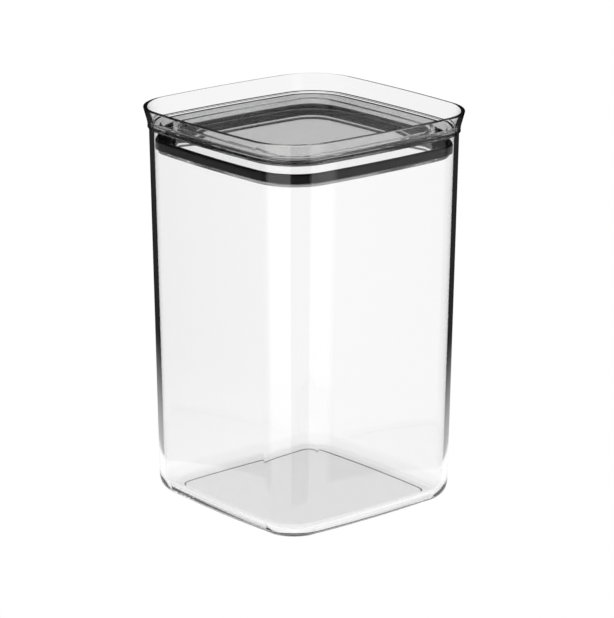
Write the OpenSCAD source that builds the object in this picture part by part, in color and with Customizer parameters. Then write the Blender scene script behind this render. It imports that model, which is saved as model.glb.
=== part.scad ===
// Square storage canister with a flush push-in lid, in millimetres.
// The origin is the centre of the resting face, and +Z points up.

/* [Canister] */
// Height from the resting face to the rim
canister_height = 180; // [120:1:260]
// Width across the sides just above the foot
base_width = 105.7; // [95:0.1:108]
// Width across the sides just below the step
shoulder_width = 112; // [109:0.1:113]
// Width across the outside of the rim
rim_width = 117.3; // [115:0.1:120]
// Radius of the upright corners at the foot
base_corner = 17.6; // [12:0.1:20]
// Radius of the upright corners below the step
shoulder_corner = 21.4; // [18:0.1:26]
// Radius that rolls the side walls into the floor
foot_roll = 7.2; // [4:0.1:10]
// Thickness of the side walls
wall = 2.2; // [1.6:0.1:2.8]
// Thickness of the floor
floor_thickness = 3; // [2:0.1:5]
// Radius of the slight outward bow of each side
bow_radius = 560; // [300:10:2000]

/* [Rim] */
// Height of the flared rim above the step
rim_height = 9.8; // [8:0.1:14]
// How far the step stands out from the side wall
step_out = 0.7; // [0.4:0.1:1]
// Thickness of the rim at its top
rim_wall = 1.8; // [1.2:0.1:2.4]
// Width of the inner ledge that carries the lid
ledge = 1.1; // [0.8:0.1:1.4]
// Height of the upright wall above the lid, before the rim opens out inside
seat_height = 2.3; // [1:0.1:4]

/* [Lid] */
// Depth of the top of the lid below the rim
lid_recess = 8.3; // [6:0.1:9]
// Thickness of the lid plate at its middle panel
plate_thickness = 1.6; // [1.2:0.1:2.4]
// Height of the low step round the middle panel
panel_step = 0.4; // [0.2:0.1:0.8]
// Width of the border outside the middle panel
panel_border = 4.2; // [2:0.1:8]
// Gap between the edge of the lid plate and the rim wall
plate_clearance = 0.4; // [0.3:0.05:0.8]

/* [Seal] */
// Depth of the skirt below the lid plate
skirt_depth = 10.1; // [7:0.1:12]
// Outer width of the skirt
skirt_width = 91; // [84:0.1:96]
// Thickness of the skirt wall at its foot
skirt_wall = 1.2; // [1:0.1:2]
// Extra thickness of the skirt wall where it meets the plate
skirt_draft = 0.8; // [0:0.1:1]
// Outer width of the flange under the seal
flange_width = 105; // [100:0.1:106]
// Thickness of the flange under the seal
flange_thickness = 1.8; // [1.2:0.1:2.4]
// Height of the seal at its outer lip
seal_height = 4.2; // [3:0.1:5]
// Height of the seal inside the lip
seal_foot = 1.6; // [1:0.1:3]
// Thickness of the lip that stands up at the outside of the seal
seal_lip = 1.8; // [1.2:0.1:3]
// Gap between the modelled seal and the vessel wall
seal_clearance = 0.3; // [0.3:0.05:0.6]

/* [Hidden] */
side_steps = 4;
corner_steps = 6;
roll_steps = 5;
ledge_gap = 0.2;
bead_height = 1;
bead_depth = 0.35;
lip_round = 0.5;
seal_slope = 0.6;
step_z = canister_height - rim_height;
lid_top_z = canister_height - lid_recess;
plate_under_z = lid_top_z - plate_thickness;
ledge_z = plate_under_z - ledge_gap;
flange_z = plate_under_z - skirt_depth;
seal_z = flange_z + flange_thickness;
seal_top_z = seal_z + seal_height;
skirt_corner = 13;
flange_corner = shoulder_corner - wall - 0.6;

// Side width and corner radius of the vessel's outside at height z, below the step
function side_share(z) = z / step_z;
function outer_width(z) = base_width + (shoulder_width - base_width) * side_share(z);
function outer_corner(z) = base_corner + (shoulder_corner - base_corner) * side_share(z);

// One quarter of a rounded square with bowed sides: a side arc, then a corner arc.
// The two arcs share a tangent where they meet.
function corner_centre(half, corner) =
    let (shift = bow_radius - half, reach = bow_radius - corner)
    (sqrt(2 * reach * reach - shift * shift) - shift) / 2;
function quarter(half, corner) =
    let (
        shift = bow_radius - half,
        centre = corner_centre(half, corner),
        meet = atan2(centre, centre + shift)
    )
    concat(
        [for (i = [0 : side_steps - 1])
            let (a = meet * (2 * i / side_steps - 1))
            [bow_radius * cos(a) - shift, bow_radius * sin(a)]],
        [for (i = [0 : corner_steps - 1])
            let (a = meet + (90 - 2 * meet) * i / corner_steps)
            [centre + corner * cos(a), centre + corner * sin(a)]]
    );
function turned(point, angle) = [
    point[0] * cos(angle) - point[1] * sin(angle),
    point[0] * sin(angle) + point[1] * cos(angle)
];
function outline(width, corner) =
    [for (turn = [0 : 3]) for (point = quarter(width / 2, corner)) turned(point, 90 * turn)];

// A closed solid through a stack of rings, each [width, corner radius, height]
module loft(rings) {
    count = 4 * (side_steps + corner_steps);
    last = len(rings) - 1;
    points = [
        for (ring = rings) for (point = outline(ring[0], ring[1])) [point[0], point[1], ring[2]]
    ];
    sides = [
        for (level = [0 : last - 1]) for (i = [0 : count - 1])
            let (
                a = level * count + i,
                b = level * count + (i + 1) % count
            )
            each [[a, b + count, b], [a, a + count, b + count]]
    ];
    bottom = [for (i = [0 : count - 1]) i];
    top = [for (i = [0 : count - 1]) last * count + count - 1 - i];
    polyhedron(points = points, faces = concat([bottom, top], sides), convexity = 6);
}

// A flat slab of the same outline
module slab(width, corner, low, high) {
    translate([0, 0, low])
        linear_extrude(high - low)
            polygon(outline(width, corner));
}

// Rings of the quarter-round roll between a floor at height low and the side wall
function roll_rings(radius, low, inset) = [
    for (i = [0 : roll_steps])
        let (
            a = 90 * i / roll_steps,
            z = low + radius * (1 - cos(a)),
            pull = radius * (1 - sin(a)) + inset
        )
        [outer_width(z) - 2 * pull, outer_corner(z) - pull, z]
];

module vessel_outside() {
    step_width = shoulder_width + 2 * step_out;
    step_corner = shoulder_corner + step_out;
    rim_corner = shoulder_corner + (rim_width - shoulder_width) / 2;
    groove_z = step_z + 1.5 * bead_height;
    flare_z = step_z + 2.8 * bead_height;
    loft(concat(
        roll_rings(foot_roll, 0, 0),
        [
            [shoulder_width, shoulder_corner, step_z],
            [step_width, step_corner, step_z + 0.4 * bead_height],
            [step_width, step_corner, step_z + bead_height],
            [step_width - 2 * bead_depth, step_corner - bead_depth, groove_z],
            [step_width, step_corner, step_z + 2 * bead_height],
            [step_width + 0.1, step_corner, flare_z],
            [rim_width, rim_corner, canister_height - lip_round],
            [rim_width - 2 * lip_round, rim_corner - lip_round, canister_height]
        ]
    ));
}

module vessel_inside() {
    inner_roll = foot_roll - wall;
    ledge_width = outer_width(ledge_z) - 2 * wall;
    ledge_corner = outer_corner(ledge_z) - wall;
    seat_width = ledge_width + 2 * ledge;
    seat_corner = ledge_corner + ledge;
    mouth_width = rim_width - 2 * rim_wall;
    mouth_corner = seat_corner + (mouth_width - seat_width) / 2;
    above = 1;
    union() {
        loft(concat(
            roll_rings(inner_roll, floor_thickness, wall),
            [
                [ledge_width, ledge_corner, ledge_z],
                [ledge_width, ledge_corner, ledge_z + above]
            ]
        ));
        loft([
            [seat_width, seat_corner, ledge_z],
            [seat_width, seat_corner, lid_top_z + seat_height],
            [mouth_width, mouth_corner, canister_height],
            [mouth_width, mouth_corner, canister_height + above]
        ]);
    }
}

module canister_body() {
    color([0.93, 0.95, 0.96, 0.35])
        difference() {
            vessel_outside();
            vessel_inside();
        }
}

module lid_plate() {
    seat_width = outer_width(ledge_z) - 2 * wall + 2 * ledge;
    plate_width = seat_width - 2 * plate_clearance;
    plate_corner = outer_corner(ledge_z) - wall + ledge - plate_clearance;
    border_z = lid_top_z - panel_step;
    color([0.80, 0.82, 0.83, 0.45])
        union() {
            slab(plate_width, plate_corner, plate_under_z, border_z);
            slab(plate_width - 2 * panel_border, plate_corner - panel_border, border_z, lid_top_z);
        }
}

module seal_carrier() {
    foot_width = skirt_width - 2 * skirt_wall;
    foot_corner = skirt_corner - skirt_wall;
    head_width = foot_width - 2 * skirt_draft;
    head_corner = foot_corner - skirt_draft;
    above = 1;
    rise = skirt_draft / skirt_depth;
    color([0.86, 0.88, 0.89, 0.40])
        difference() {
            union() {
                slab(skirt_width, skirt_corner, flange_z, plate_under_z);
                slab(flange_width, flange_corner, flange_z, seal_z);
            }
            loft([
                [foot_width + 2 * above * rise, foot_corner + above * rise, flange_z - above],
                [head_width - 2 * above * rise, head_corner - above * rise, plate_under_z + above]
            ]);
        }
}

module seal_gasket() {
    bore_width = outer_width(seal_z) - 2 * wall;
    seal_width = bore_width - 2 * seal_clearance;
    seal_corner = outer_corner(seal_z) - wall - seal_clearance;
    groove_width = seal_width - 2 * seal_lip;
    groove_corner = seal_corner - seal_lip;
    above = 1;
    color([0.06, 0.06, 0.06])
        difference() {
            loft([
                [seal_width, seal_corner, seal_z],
                [seal_width, seal_corner, seal_top_z - seal_slope],
                [seal_width - 2 * seal_slope, seal_corner - seal_slope, seal_top_z]
            ]);
            slab(skirt_width, skirt_corner, seal_z - above, seal_top_z + above);
            slab(groove_width, groove_corner, seal_z + seal_foot, seal_top_z + above);
        }
}

canister_body();
lid_plate();
seal_carrier();
seal_gasket();
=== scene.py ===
# %% [markdown]
# A clear square storage canister, modelled
#
# The object is a tall clear vessel with a flared rim, closed by a flat clear lid that
# drops inside the rim. Under the lid hangs a clear ring that carries a black seal.
# There are four mouldings, and each one has the same section all the way round, so each
# is drawn once as a section and swept along the rounded-square outline.
#
# The CAD model is loaded first. It fixes every place and size, and the pieces made here
# stand for its nodes with smoother surfaces and real materials.

# %% Load the frame
import math

import bmesh
import bpy
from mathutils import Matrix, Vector


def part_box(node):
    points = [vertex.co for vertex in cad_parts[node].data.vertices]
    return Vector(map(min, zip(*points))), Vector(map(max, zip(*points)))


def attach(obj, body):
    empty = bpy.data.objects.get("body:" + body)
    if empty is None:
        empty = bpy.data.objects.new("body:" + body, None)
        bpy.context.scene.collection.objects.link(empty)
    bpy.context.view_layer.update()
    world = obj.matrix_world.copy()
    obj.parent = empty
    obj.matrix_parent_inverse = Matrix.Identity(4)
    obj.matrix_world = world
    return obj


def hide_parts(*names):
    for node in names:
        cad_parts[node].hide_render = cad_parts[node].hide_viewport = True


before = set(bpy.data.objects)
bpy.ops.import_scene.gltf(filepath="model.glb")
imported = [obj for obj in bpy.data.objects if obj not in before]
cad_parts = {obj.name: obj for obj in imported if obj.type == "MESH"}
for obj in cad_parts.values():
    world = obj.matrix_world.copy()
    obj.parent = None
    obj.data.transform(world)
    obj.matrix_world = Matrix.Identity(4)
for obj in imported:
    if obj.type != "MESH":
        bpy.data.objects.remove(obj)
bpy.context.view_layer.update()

print("nodes:", sorted(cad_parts))

# %% [markdown]
# ## Sizes
#
# The frame gives the outer box of each CAD node in metres. Mouldings like these are
# easier to think about in millimetres, so the boxes are turned into them once. What a
# box can't give, such as the thickness of a wall, is named in the cell that needs it.

# %% Sizes from the frame
MM = 0.001


def box_mm(node):
    low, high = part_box(node)
    return [c / MM for c in low], [c / MM for c in high]


body_low, body_high = box_mm("canister_body")
plate_low, plate_high = box_mm("lid_plate")
carrier_low, carrier_high = box_mm("seal_carrier")
gasket_low, gasket_high = box_mm("seal_gasket")

RIM_HALF = body_high[0]
RIM_Z = body_high[2]
PLATE_HALF = plate_high[0]
PLATE_UNDER = plate_low[2]
PLATE_TOP = plate_high[2]
FLANGE_HALF = carrier_high[0]
FLANGE_UNDER = carrier_low[2]
SEAL_UNDER = gasket_low[2]
SEAL_TOP = gasket_high[2]

print(f"rim {2 * RIM_HALF:.1f} mm wide, {RIM_Z - body_low[2]:.1f} mm high, lid top at {PLATE_TOP:.1f} mm")

# %% [markdown]
# ## The camera
#
# The camera looks at the near corner from a little above, through a long lens, so the
# sides stay nearly parallel. A constraint could aim it at a point, but would leave no
# room for roll, so three directions are worked out instead: ahead, right and up. A tiny
# pan, tilt and roll turn them two at a time and finish the aim.

# %% Camera
CAMERA_AZIMUTH = math.radians(49.91)
CAMERA_ELEVATION = math.radians(16.67)
CAMERA_DISTANCE = 1.4548
CAMERA_TARGET = Vector((0, 0, 0.084))
CAMERA_LENS = 188.04
CAMERA_SENSOR = 36
CAMERA_PAN, CAMERA_TILT, CAMERA_ROLL = (math.radians(a) for a in (0.063, 0.109, 0.070))
FAR_CLIP = 50


def swung(ahead, side, angle):
    """Turns two square directions by an angle, in their own plane."""
    return (
        ahead * math.cos(angle) + side * math.sin(angle),
        side * math.cos(angle) - ahead * math.sin(angle),
    )


def make_camera():
    back = Vector((
        math.sin(CAMERA_AZIMUTH) * math.cos(CAMERA_ELEVATION),
        -math.cos(CAMERA_AZIMUTH) * math.cos(CAMERA_ELEVATION),
        math.sin(CAMERA_ELEVATION),
    ))
    data = bpy.data.cameras.new("camera")
    data.lens = CAMERA_LENS
    data.sensor_width = CAMERA_SENSOR
    data.clip_end = FAR_CLIP
    camera = bpy.data.objects.new("camera", data)
    bpy.context.scene.collection.objects.link(camera)
    camera.rotation_mode = "QUATERNION"
    camera.location = CAMERA_TARGET + back * CAMERA_DISTANCE
    aim = (-back).to_track_quat("-Z", "Y").to_matrix()
    right, up, forward = aim.col[0].copy(), aim.col[1].copy(), -aim.col[2]
    forward, right = swung(forward, right, CAMERA_PAN)
    forward, up = swung(forward, up, CAMERA_TILT)
    right, up = swung(right, up, CAMERA_ROLL)
    for i, column in enumerate((right, up, -forward)):
        aim.col[i] = column
    camera.rotation_quaternion = aim.to_quaternion()
    bpy.context.scene.camera = camera
    print("camera at", [round(c, 3) for c in camera.location])


make_camera()

# %% [markdown]
# ## Drawing a section
#
# A section is what a saw cut through the wall would show. It could be typed in as a
# mesh, but here it is drawn as with a pencil: a plane is merged to one vertex, and that
# vertex is extruded from point to point. A sharp point may have a rounding, which a
# vertex bevel cuts. Large roundings get twice the steps of small ones.

# %% Drawing a section
TOUCHING = 0.002 * MM
ROUND_STEPS = 5
LARGE_ROUNDING = 2


def select_verts(obj, test):
    bpy.ops.mesh.select_mode(type="VERT")
    bpy.ops.mesh.select_all(action="DESELECT")
    mesh = bmesh.from_edit_mesh(obj.data)
    for vert in mesh.verts:
        vert.select = test(vert)
    mesh.select_flush_mode()
    bmesh.update_edit_mesh(obj.data)


def draw_section(name, points, closed):
    """A polyline in the XZ plane. Points are (half width, height, rounding), in mm."""
    bpy.ops.object.select_all(action="DESELECT")
    first = Vector((points[0][0] * MM, 0, points[0][1] * MM))
    bpy.ops.mesh.primitive_plane_add(size=MM, location=first)
    obj = bpy.context.object
    obj.name = name
    bpy.ops.object.transform_apply(location=True)
    bpy.ops.object.mode_set(mode="EDIT")
    bpy.ops.mesh.select_mode(type="VERT")
    bpy.ops.mesh.select_all(action="SELECT")
    bpy.ops.mesh.merge(type="CENTER")
    path = points + points[:1] if closed else points
    for a, b in zip(path, path[1:]):
        step = ((b[0] - a[0]) * MM, 0, (b[1] - a[1]) * MM)
        bpy.ops.mesh.extrude_region_move(TRANSFORM_OT_translate={"value": step})
    bpy.ops.mesh.select_all(action="SELECT")
    bpy.ops.mesh.remove_doubles(threshold=TOUCHING)
    for x, z, rounding in points:
        if rounding > 0:
            place = Vector((x * MM, 0, z * MM))
            select_verts(obj, lambda v: (v.co - place).length < TOUCHING)
            steps = ROUND_STEPS if rounding < LARGE_ROUNDING else 2 * ROUND_STEPS
            bpy.ops.mesh.bevel(offset=rounding * MM, segments=steps, affect="VERTICES")
    return obj


print("steps in a rounding:", ROUND_STEPS, "or", 2 * ROUND_STEPS)

# %% [markdown]
# ## Sweeping it round
#
# The outline is a rounded square whose sides bow out slightly. A curve could carry the
# section as its bevel profile, but its arcs would only be close to round. Every point
# of a section keeps to the same arc centres, so the sweep can be a walk with a compass:
# half a side, a corner, half the next side, four times over. The spin operator does it.

# %% Sweeping a section
BOW_RADIUS = 560.0
SIDE_STEPS = 6
CORNER_STEPS = 24


def corner_centre(half, corner):
    """Distance of the corner arcs' centres from the axes, for a bowed rounded square."""
    shift = BOW_RADIUS - half
    reach = BOW_RADIUS - corner
    return (math.sqrt(2 * reach ** 2 - shift ** 2) - shift) / 2


def turned(x, y, quarter):
    """A point given in mm, moved on by quarter turns round the middle, in metres."""
    turn = math.radians(90 * quarter)
    return (
        (x * math.cos(turn) - y * math.sin(turn)) * MM,
        (x * math.sin(turn) + y * math.cos(turn)) * MM,
        0,
    )


def sweep_section(half, corner):
    """Walks the section round the outline that has this half width and corner radius."""
    centre = corner_centre(half, corner)
    shift = BOW_RADIUS - half
    meet = math.atan2(centre, centre + shift)
    bpy.ops.mesh.select_all(action="SELECT")
    for quarter in range(4):
        walk = (
            (turned(-shift, 0, quarter), meet, SIDE_STEPS),
            (turned(centre, centre, quarter), math.pi / 2 - 2 * meet, CORNER_STEPS),
            (turned(0, -shift, quarter), meet, SIDE_STEPS),
        )
        for place, angle, steps in walk:
            bpy.ops.mesh.spin(steps=steps, angle=-angle, center=place, axis=(0, 0, 1))
    bpy.ops.mesh.select_all(action="SELECT")
    bpy.ops.mesh.remove_doubles(threshold=TOUCHING)


print("steps in one lap:", 4 * (2 * SIDE_STEPS + CORNER_STEPS))

# %% [markdown]
# ## Closing and finishing a piece
#
# A section that starts and ends away from the middle leaves flat openings there, and one
# face fills each. The piece is then shaded smooth. Plain smooth shading would bend the
# long flat faces beside each rounding, and clear plastic shows that like a lens, so the
# weighted normal modifier lets the large faces decide. Last, the piece is tied to the
# body that it moves with, and the CAD node that it stands for is hidden.

# %% Closing and finishing
SMOOTH_ANGLE = math.radians(40)
FULL_WEIGHT = 100


def cap_openings(obj):
    """Fills each flat opening that the sweep leaves in the middle."""
    bpy.ops.mesh.select_mode(type="EDGE")
    heights = {
        round(vert.co.z, 6)
        for edge in bmesh.from_edit_mesh(obj.data).edges if edge.is_boundary
        for vert in edge.verts
    }
    for height in sorted(heights):
        bpy.ops.mesh.select_all(action="DESELECT")
        mesh = bmesh.from_edit_mesh(obj.data)
        for edge in mesh.edges:
            flat = all(abs(v.co.z - height) < TOUCHING for v in edge.verts)
            edge.select = edge.is_boundary and flat
        bmesh.update_edit_mesh(obj.data)
        bpy.ops.mesh.edge_face_add()


def finish_piece(obj, material, body, node):
    """Faces outwards, smooth shading, material, and its place in the frame."""
    bpy.ops.mesh.select_all(action="SELECT")
    bpy.ops.mesh.normals_make_consistent(inside=False)
    bpy.ops.object.mode_set(mode="OBJECT")
    bpy.ops.object.shade_smooth_by_angle(angle=SMOOTH_ANGLE)
    bpy.ops.object.modifier_add(type="WEIGHTED_NORMAL")
    weighted = obj.modifiers[-1]
    weighted.mode = "FACE_AREA"
    weighted.weight = FULL_WEIGHT
    weighted.keep_sharp = True
    bpy.ops.object.modifier_apply(modifier=weighted.name)
    obj.data.materials.clear()
    obj.data.materials.append(material)
    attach(obj, body)
    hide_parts(node)
    low = [min(v.co[i] for v in obj.data.vertices) / MM for i in range(3)]
    high = [max(v.co[i] for v in obj.data.vertices) / MM for i in range(3)]
    spans = " x ".join(f"{b - a:.1f}" for a, b in zip(low, high))
    print(f"{obj.name}: {len(obj.data.polygons)} faces, {spans} mm, from {low[2]:.1f} mm up")


print(f"edges under {math.degrees(SMOOTH_ANGLE):.0f} degrees are shaded smooth")

# %% [markdown]
# ## Clear plastic
#
# The vessel, the lid and the seal carrier are clear moulded plastic. Mixing in some
# transparency would be quick, but then the walls wouldn't bend light, and bent light is
# what draws their edges. So the plastic has full transmission, the refractive index of
# a clear plastic and no roughness. A broad, very faint bump gives the slight waviness
# of a moulded wall. The lid is tinted, because it looks a little greyer.

# %% Clear plastic
PLASTIC_IOR = 1.49
COLOURLESS = (1.0, 1.0, 1.0)
LID_TINT = (0.88, 0.88, 0.88)
BODY_WAVES = 18
LID_WAVES = 22
WAVE_STRENGTH = 0.003
WAVE_DEPTH = 0.001


def clear_plastic(name, tint, wave_scale):
    material = bpy.data.materials.new(name)
    material.use_nodes = True
    nodes, links = material.node_tree.nodes, material.node_tree.links
    shader = nodes["Principled BSDF"]
    shader.inputs["Base Color"].default_value = (*tint, 1)
    shader.inputs["Transmission Weight"].default_value = 1
    shader.inputs["Roughness"].default_value = 0.0
    shader.inputs["IOR"].default_value = PLASTIC_IOR
    place = nodes.new("ShaderNodeTexCoord")
    waves = nodes.new("ShaderNodeTexNoise")
    waves.inputs["Scale"].default_value = wave_scale
    waves.inputs["Detail"].default_value = 1
    bump = nodes.new("ShaderNodeBump")
    bump.inputs["Strength"].default_value = WAVE_STRENGTH
    bump.inputs["Distance"].default_value = WAVE_DEPTH
    links.new(place.outputs["Object"], waves.inputs["Vector"])
    links.new(waves.outputs["Fac"], bump.inputs["Height"])
    links.new(bump.outputs["Normal"], shader.inputs["Normal"])
    return material


body_plastic = clear_plastic("clear_body_plastic", COLOURLESS, BODY_WAVES)
lid_plastic = clear_plastic("clear_lid_plastic", LID_TINT, LID_WAVES)
carrier_plastic = clear_plastic("clear_carrier_plastic", COLOURLESS, LID_WAVES)
print("clear plastics:", body_plastic.name, lid_plastic.name, carrier_plastic.name)

# %% [markdown]
# ## Black silicone
#
# The seal is soft black rubber, nearly black with a dull sheen. One flat roughness would
# look like paint, so a fine noise moves the roughness up and down a little, which breaks
# the sheen up as a moulded rubber skin does.

# %% Black silicone
SILICONE_BLACK = (0.004, 0.004, 0.004, 1)
SILICONE_IOR = 1.41
SILICONE_SHEEN = 0.3
SILICONE_ROUGHNESS = (0.30, 0.42)
GRAIN_SCALE = 2500
GRAIN_DETAIL = 3


def black_silicone(name):
    material = bpy.data.materials.new(name)
    material.use_nodes = True
    nodes, links = material.node_tree.nodes, material.node_tree.links
    shader = nodes["Principled BSDF"]
    shader.inputs["Base Color"].default_value = SILICONE_BLACK
    shader.inputs["IOR"].default_value = SILICONE_IOR
    shader.inputs["Specular IOR Level"].default_value = SILICONE_SHEEN
    place = nodes.new("ShaderNodeTexCoord")
    grain = nodes.new("ShaderNodeTexNoise")
    grain.inputs["Scale"].default_value = GRAIN_SCALE
    grain.inputs["Detail"].default_value = GRAIN_DETAIL
    rough = nodes.new("ShaderNodeMapRange")
    rough.inputs["To Min"].default_value = SILICONE_ROUGHNESS[0]
    rough.inputs["To Max"].default_value = SILICONE_ROUGHNESS[1]
    links.new(place.outputs["Object"], grain.inputs["Vector"])
    links.new(grain.outputs["Fac"], rough.inputs["Value"])
    links.new(rough.outputs["Result"], shader.inputs["Roughness"])
    return material


seal_rubber = black_silicone("black_silicone")
print("rubber:", seal_rubber.name)

# %% [markdown]
# ## The vessel
#
# The vessel is one moulded shell. A box with an inset top and a solidify modifier would
# come close, but its wall, bead, ledge and rim each need their own thickness, so the
# whole section is drawn: from the recess under the base, up the outside, over the rim,
# past the ledge that carries the lid, and down the inside to the floor. A short stretch
# of flat at each end keeps the shading of the base and the floor flat.
#
# The recess is very shallow. Seen through the floor, its edge is one fine line.

# %% Canister body
WALL = 2.2
FLOOR = 3.0
FOOT_HALF = 52.85
FOOT_ROLL = 7.2
SHOULDER_HALF = 56.0
SHOULDER_CORNER = 21.2
SHOULDER_ROUND = 0.15

RIM_HEIGHT = 9.8
RIM_WALL = 1.8
LIP_ROUND = 0.75
STEP_Z = RIM_Z - RIM_HEIGHT
STEP_OUT = 0.7

# Heights of the bead and the start of the flare, above the step
BEAD_FOOT = 0.4
BEAD_TOP = 1.0
GROOVE = 1.5
COLLAR = 2.0
FLARE = 2.9
GROOVE_DEPTH = 0.35
FLARE_OUT = 0.05
BEAD_FOOT_ROUND = 0.25
BEAD_ROUND = 0.2
FLARE_ROUND = 0.3

LEDGE = 1.1
LEDGE_GAP = 0.2
LEDGE_Z = PLATE_UNDER - LEDGE_GAP
LEDGE_ROUND = 0.25
SEAT_HEIGHT = 2.3
SEAT_ROUND = 0.5

RECESS_HALF = 40.2
RECESS_DEPTH = 0.6
RECESS_ROUND = 0.2
RECESS_FLAT = 3
FLOOR_FLAT = 2


def outer_half(z):
    """Half width of the vessel's outside at height z, below the step."""
    return FOOT_HALF + (SHOULDER_HALF - FOOT_HALF) * z / STEP_Z


def make_canister_body():
    step_half = SHOULDER_HALF + STEP_OUT
    ledge_half = outer_half(LEDGE_Z) - WALL
    seat_half = ledge_half + LEDGE
    inner_roll = FOOT_ROLL - WALL
    floor_half = outer_half(FLOOR) - WALL
    obj = draw_section("canister_body_shell", [
        (RECESS_HALF - RECESS_FLAT, RECESS_DEPTH, 0),
        (RECESS_HALF, RECESS_DEPTH, RECESS_ROUND),
        (RECESS_HALF + RECESS_DEPTH, 0, RECESS_ROUND),
        (FOOT_HALF, 0, FOOT_ROLL),
        (SHOULDER_HALF, STEP_Z, SHOULDER_ROUND),
        (step_half, STEP_Z + BEAD_FOOT, BEAD_FOOT_ROUND),
        (step_half, STEP_Z + BEAD_TOP, BEAD_ROUND),
        (step_half - GROOVE_DEPTH, STEP_Z + GROOVE, BEAD_ROUND),
        (step_half, STEP_Z + COLLAR, BEAD_ROUND),
        (step_half + FLARE_OUT, STEP_Z + FLARE, FLARE_ROUND),
        (RIM_HALF, RIM_Z, LIP_ROUND),
        (RIM_HALF - RIM_WALL, RIM_Z, LIP_ROUND),
        (seat_half, PLATE_TOP + SEAT_HEIGHT, SEAT_ROUND),
        (seat_half, LEDGE_Z, LEDGE_ROUND),
        (ledge_half, LEDGE_Z, LEDGE_ROUND),
        (floor_half, FLOOR, inner_roll),
        (floor_half - inner_roll - FLOOR_FLAT, FLOOR, 0),
    ], closed=False)
    sweep_section(SHOULDER_HALF, SHOULDER_CORNER)
    cap_openings(obj)
    finish_piece(obj, body_plastic, "canister", "canister_body")


make_canister_body()

# %% [markdown]
# ## The lid plate
#
# A flat plate that lies in the rim, with a middle panel that stands a little proud of
# its border. An inset and a small move would raise the panel, but its step follows the
# bowed outline exactly when it is part of the section, so this piece is swept too.

# %% Lid plate
PLATE_CORNER = 19.0
PLATE_ROUND = 0.35
PANEL_STEP = 0.4
PANEL_BORDER = 4.2
PANEL_SLOPE = 0.5
PANEL_ROUND = 0.3
PANEL_FLAT = 3


def make_lid_plate():
    panel = PLATE_HALF - PANEL_BORDER
    obj = draw_section("lid_plate_panel", [
        (panel - PANEL_FLAT, PLATE_TOP, 0),
        (panel - PANEL_SLOPE, PLATE_TOP, PANEL_ROUND),
        (panel, PLATE_TOP - PANEL_STEP, PANEL_ROUND),
        (PLATE_HALF, PLATE_TOP - PANEL_STEP, PLATE_ROUND),
        (PLATE_HALF, PLATE_UNDER, PLATE_ROUND),
        (panel - PANEL_FLAT, PLATE_UNDER, 0),
    ], closed=False)
    sweep_section(PLATE_HALF, PLATE_CORNER)
    cap_openings(obj)
    finish_piece(obj, lid_plastic, "lid", "lid_plate")


make_lid_plate()

# %% [markdown]
# ## The seal carrier
#
# A short skirt with a flange at its foot, in one clear moulding. It could be cut from a
# block with booleans, but a closed section swept round gives clean rows of faces. It
# stops a hair below the plate and below the seal, because two faces in one plane
# would fight in the render.

# %% Seal carrier
SKIRT_HALF = 45.5
SKIRT_CORNER = 12.8
SKIRT_WALL_TOP = 2.0
SKIRT_WALL_FOOT = 1.2
SKIRT_EDGE = 0.1
SKIRT_ROOT = 0.15
FLANGE_ROUND = 0.4
HAIR = 0.03


def make_seal_carrier():
    top = PLATE_UNDER - HAIR
    flange_top = SEAL_UNDER - HAIR
    obj = draw_section("seal_carrier_ring", [
        (SKIRT_HALF, top, SKIRT_EDGE),
        (SKIRT_HALF, flange_top, SKIRT_ROOT),
        (FLANGE_HALF, flange_top, FLANGE_ROUND),
        (FLANGE_HALF, FLANGE_UNDER, FLANGE_ROUND),
        (SKIRT_HALF - SKIRT_WALL_FOOT, FLANGE_UNDER, FLANGE_ROUND),
        (SKIRT_HALF - SKIRT_WALL_TOP, top, SKIRT_EDGE),
    ], closed=True)
    sweep_section(SKIRT_HALF, SKIRT_CORNER)
    finish_piece(obj, carrier_plastic, "lid", "seal_carrier")


make_seal_carrier()

# %% [markdown]
# ## The seal
#
# A black silicone ring on the flange. A soft lip stands up at its outside and wipes the
# vessel wall, with a shallow trough between the lip and the skirt. A round cord would be
# simpler, but it would have no lip. The real seal is squeezed against the wall, so it
# stands further out here than in the CAD, and stops just short of touching.

# %% Seal gasket
SEAL_SQUEEZE = 0.25
SEAL_FOOT = 1.6
SEAL_FOOT_ROUND = 0.3
SEAL_EDGE = 0.1
SEAL_LIP = 1.8
SEAL_LIP_LEAN = 0.3
SEAL_LIP_ROUNDS = (0.8, 0.6)
TROUGH_ROUND = 0.5


def make_seal_gasket():
    half = gasket_high[0] + SEAL_SQUEEZE
    corner = half - corner_centre(SHOULDER_HALF, SHOULDER_CORNER)
    trough_z = SEAL_UNDER + SEAL_FOOT
    obj = draw_section("seal_gasket_ring", [
        (half, SEAL_UNDER, SEAL_FOOT_ROUND),
        (half, SEAL_TOP, SEAL_LIP_ROUNDS[0]),
        (half - SEAL_LIP, SEAL_TOP, SEAL_LIP_ROUNDS[1]),
        (half - SEAL_LIP - SEAL_LIP_LEAN, trough_z, TROUGH_ROUND),
        (SKIRT_HALF + HAIR, trough_z, SEAL_EDGE),
        (SKIRT_HALF + HAIR, SEAL_UNDER, SEAL_EDGE),
    ], closed=True)
    sweep_section(half, corner)
    finish_piece(obj, seal_rubber, "lid", "seal_gasket")


make_seal_gasket()

# %% [markdown]
# ## The floor and the room
#
# Clear plastic shows only what stands around it. Lamps would leave their own shapes in
# every wall, so the floor itself glows instead. It makes the walls bright from below and
# behind, and a black room above it makes the level faces grey. Light has to pass many
# walls before it reaches the camera, so more bounces are allowed than usual.

# %% Floor and room
FLOOR_SIZE = 8.0
FLOOR_DROP = 0.0005
FLOOR_GLOW = 1.0
CLEAR_BOUNCES = 32
GLOSSY_BOUNCES = 16
TRANSPARENT_BOUNCES = 16


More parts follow.
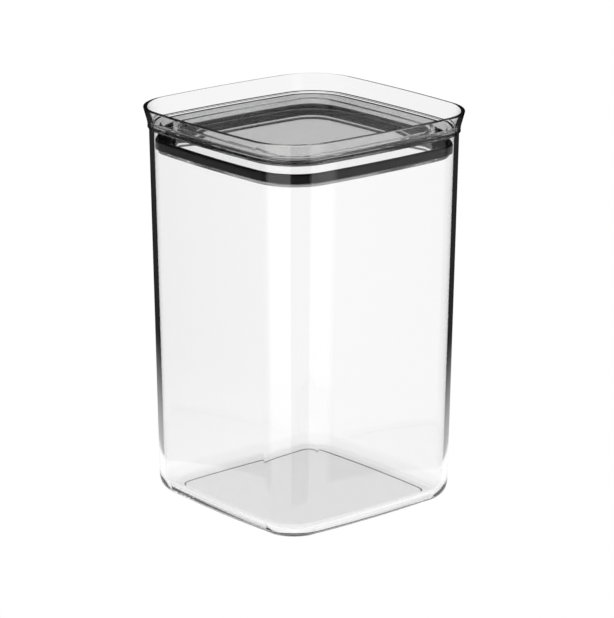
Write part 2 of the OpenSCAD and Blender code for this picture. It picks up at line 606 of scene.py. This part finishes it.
def emission_nodes(material, strength):
    material.use_nodes = True
    nodes, links = material.node_tree.nodes, material.node_tree.links
    nodes.clear()
    glow = nodes.new("ShaderNodeEmission")
    glow.inputs["Strength"].default_value = strength
    out = nodes.new("ShaderNodeOutputMaterial")
    links.new(glow.outputs["Emission"], out.inputs["Surface"])
    return nodes, links, glow, out


def make_floor():
    bpy.ops.object.select_all(action="DESELECT")
    bpy.ops.mesh.primitive_plane_add(size=FLOOR_SIZE, location=(0, 0, -FLOOR_DROP))
    floor = bpy.context.object
    floor.name = "studio_floor"
    white = bpy.data.materials.new("studio_floor_white")
    emission_nodes(white, FLOOR_GLOW)
    floor.data.materials.append(white)
    print("floor:", FLOOR_SIZE, "m")


def make_black_room():
    world = bpy.data.worlds.new("studio")
    world.use_nodes = True
    back = world.node_tree.nodes["Background"]
    back.inputs["Color"].default_value = (0, 0, 0, 1)
    back.inputs["Strength"].default_value = 0.0
    scene = bpy.context.scene
    scene.world = world
    scene.view_settings.view_transform = "Standard"
    scene.cycles.max_bounces = CLEAR_BOUNCES
    scene.cycles.transmission_bounces = CLEAR_BOUNCES
    scene.cycles.glossy_bounces = GLOSSY_BOUNCES
    scene.cycles.transparent_max_bounces = TRANSPARENT_BOUNCES
    print("light bounces:", CLEAR_BOUNCES)


make_floor()
make_black_room()

# %% [markdown]
# ## The cards
#
# In a product studio, black cards round a clear object draw its edges, and the gaps
# between them show as bright streaks on its corners. Real cards would have to stand
# where the camera sees them through the walls. Here they are one low ring round the
# object, and its material asks how the light came: the ring shows only in light that
# has been reflected and has crossed at most two faces, and is clear to all other light.
# One part of it is grey, and all of it is lighter at its foot, so that the dark edges it
# draws fade out above the floor.

# %% Card material
BLACK_GLOW = 0.02
GREY_GLOW = 0.35
FOOT_GLOW = 0.45
FADE_HEIGHT = 0.06
BELOW_ONE_REFLECTION = 0.5
ABOVE_TWO_CROSSINGS = 2.5


def add_foot_fade(nodes, links, glow, strength):
    """The card's glow runs from FOOT_GLOW at the floor to its own strength higher up."""
    place = nodes.new("ShaderNodeTexCoord")
    split = nodes.new("ShaderNodeSeparateXYZ")
    fade = nodes.new("ShaderNodeMapRange")
    fade.interpolation_type = "SMOOTHSTEP"
    fade.inputs["From Max"].default_value = FADE_HEIGHT
    fade.inputs["To Min"].default_value = FOOT_GLOW
    fade.inputs["To Max"].default_value = strength
    links.new(place.outputs["Object"], split.inputs["Vector"])
    links.new(split.outputs["Z"], fade.inputs["Value"])
    links.new(fade.outputs["Result"], glow.inputs["Strength"])


def card_material(name, strength):
    """A glowing card that only reflected light meets, after two crossings at most."""
    material = bpy.data.materials.new(name)
    nodes, links, glow, out = emission_nodes(material, strength)
    add_foot_fade(nodes, links, glow, strength)
    path = nodes.new("ShaderNodeLightPath")
    reflected = nodes.new("ShaderNodeMath")
    reflected.operation = "GREATER_THAN"
    reflected.inputs[1].default_value = BELOW_ONE_REFLECTION
    one_wall = nodes.new("ShaderNodeMath")
    one_wall.operation = "LESS_THAN"
    one_wall.inputs[1].default_value = ABOVE_TWO_CROSSINGS
    both = nodes.new("ShaderNodeMath")
    both.operation = "MULTIPLY"
    clear = nodes.new("ShaderNodeBsdfTransparent")
    mix = nodes.new("ShaderNodeMixShader")
    links.new(path.outputs["Glossy Depth"], reflected.inputs[0])
    links.new(path.outputs["Transmission Depth"], one_wall.inputs[0])
    links.new(reflected.outputs["Value"], both.inputs[0])
    links.new(one_wall.outputs["Value"], both.inputs[1])
    links.new(both.outputs["Value"], mix.inputs["Fac"])
    links.new(clear.outputs["BSDF"], mix.inputs[1])
    links.new(glow.outputs["Emission"], mix.inputs[2])
    links.new(mix.outputs["Shader"], out.inputs["Surface"])
    return material


card_black = card_material("card_black", BLACK_GLOW)
card_grey = card_material("card_grey", GREY_GLOW)
print("cards:", card_black.name, card_grey.name)

# %% [markdown]
# The ring is an open cylinder. The panels in the two gaps are deleted, and those in the
# grey part take the second material. Both are found by their angle from the camera, in
# degrees to its right.

# %% Card ring
RING_RADIUS = 0.105
RING_HEIGHT = 0.25
RING_SIDES = 180
STREAK_GAPS = ((-38, -5), (18, 44))
GREY_PART = (44, 81)


def angle_from_camera(place):
    angle = math.degrees(math.atan2(place.x, -place.y) - CAMERA_AZIMUTH)
    return (angle + 180) % 360 - 180


def make_card_ring():
    bpy.ops.object.select_all(action="DESELECT")
    bpy.ops.mesh.primitive_cylinder_add(
        vertices=RING_SIDES,
        radius=RING_RADIUS,
        depth=RING_HEIGHT,
        end_fill_type="NOTHING",
        location=(0, 0, RING_HEIGHT / 2),
    )
    ring = bpy.context.object
    ring.name = "card_ring"
    bpy.ops.object.transform_apply(location=True)
    ring.data.materials.append(card_black)
    ring.data.materials.append(card_grey)
    bpy.ops.object.mode_set(mode="EDIT")
    bpy.ops.mesh.select_mode(type="FACE")
    bpy.ops.mesh.select_all(action="DESELECT")
    mesh = bmesh.from_edit_mesh(ring.data)
    for face in mesh.faces:
        angle = angle_from_camera(face.calc_center_median())
        face.select = any(a < angle < b for a, b in STREAK_GAPS)
        face.material_index = 1 if GREY_PART[0] < angle < GREY_PART[1] else 0
    bmesh.update_edit_mesh(ring.data)
    bpy.ops.mesh.delete(type="FACE")
    bpy.ops.object.mode_set(mode="OBJECT")
    ring.visible_camera = False
    print("card ring:", len(ring.data.polygons), "panels")


make_card_ring()
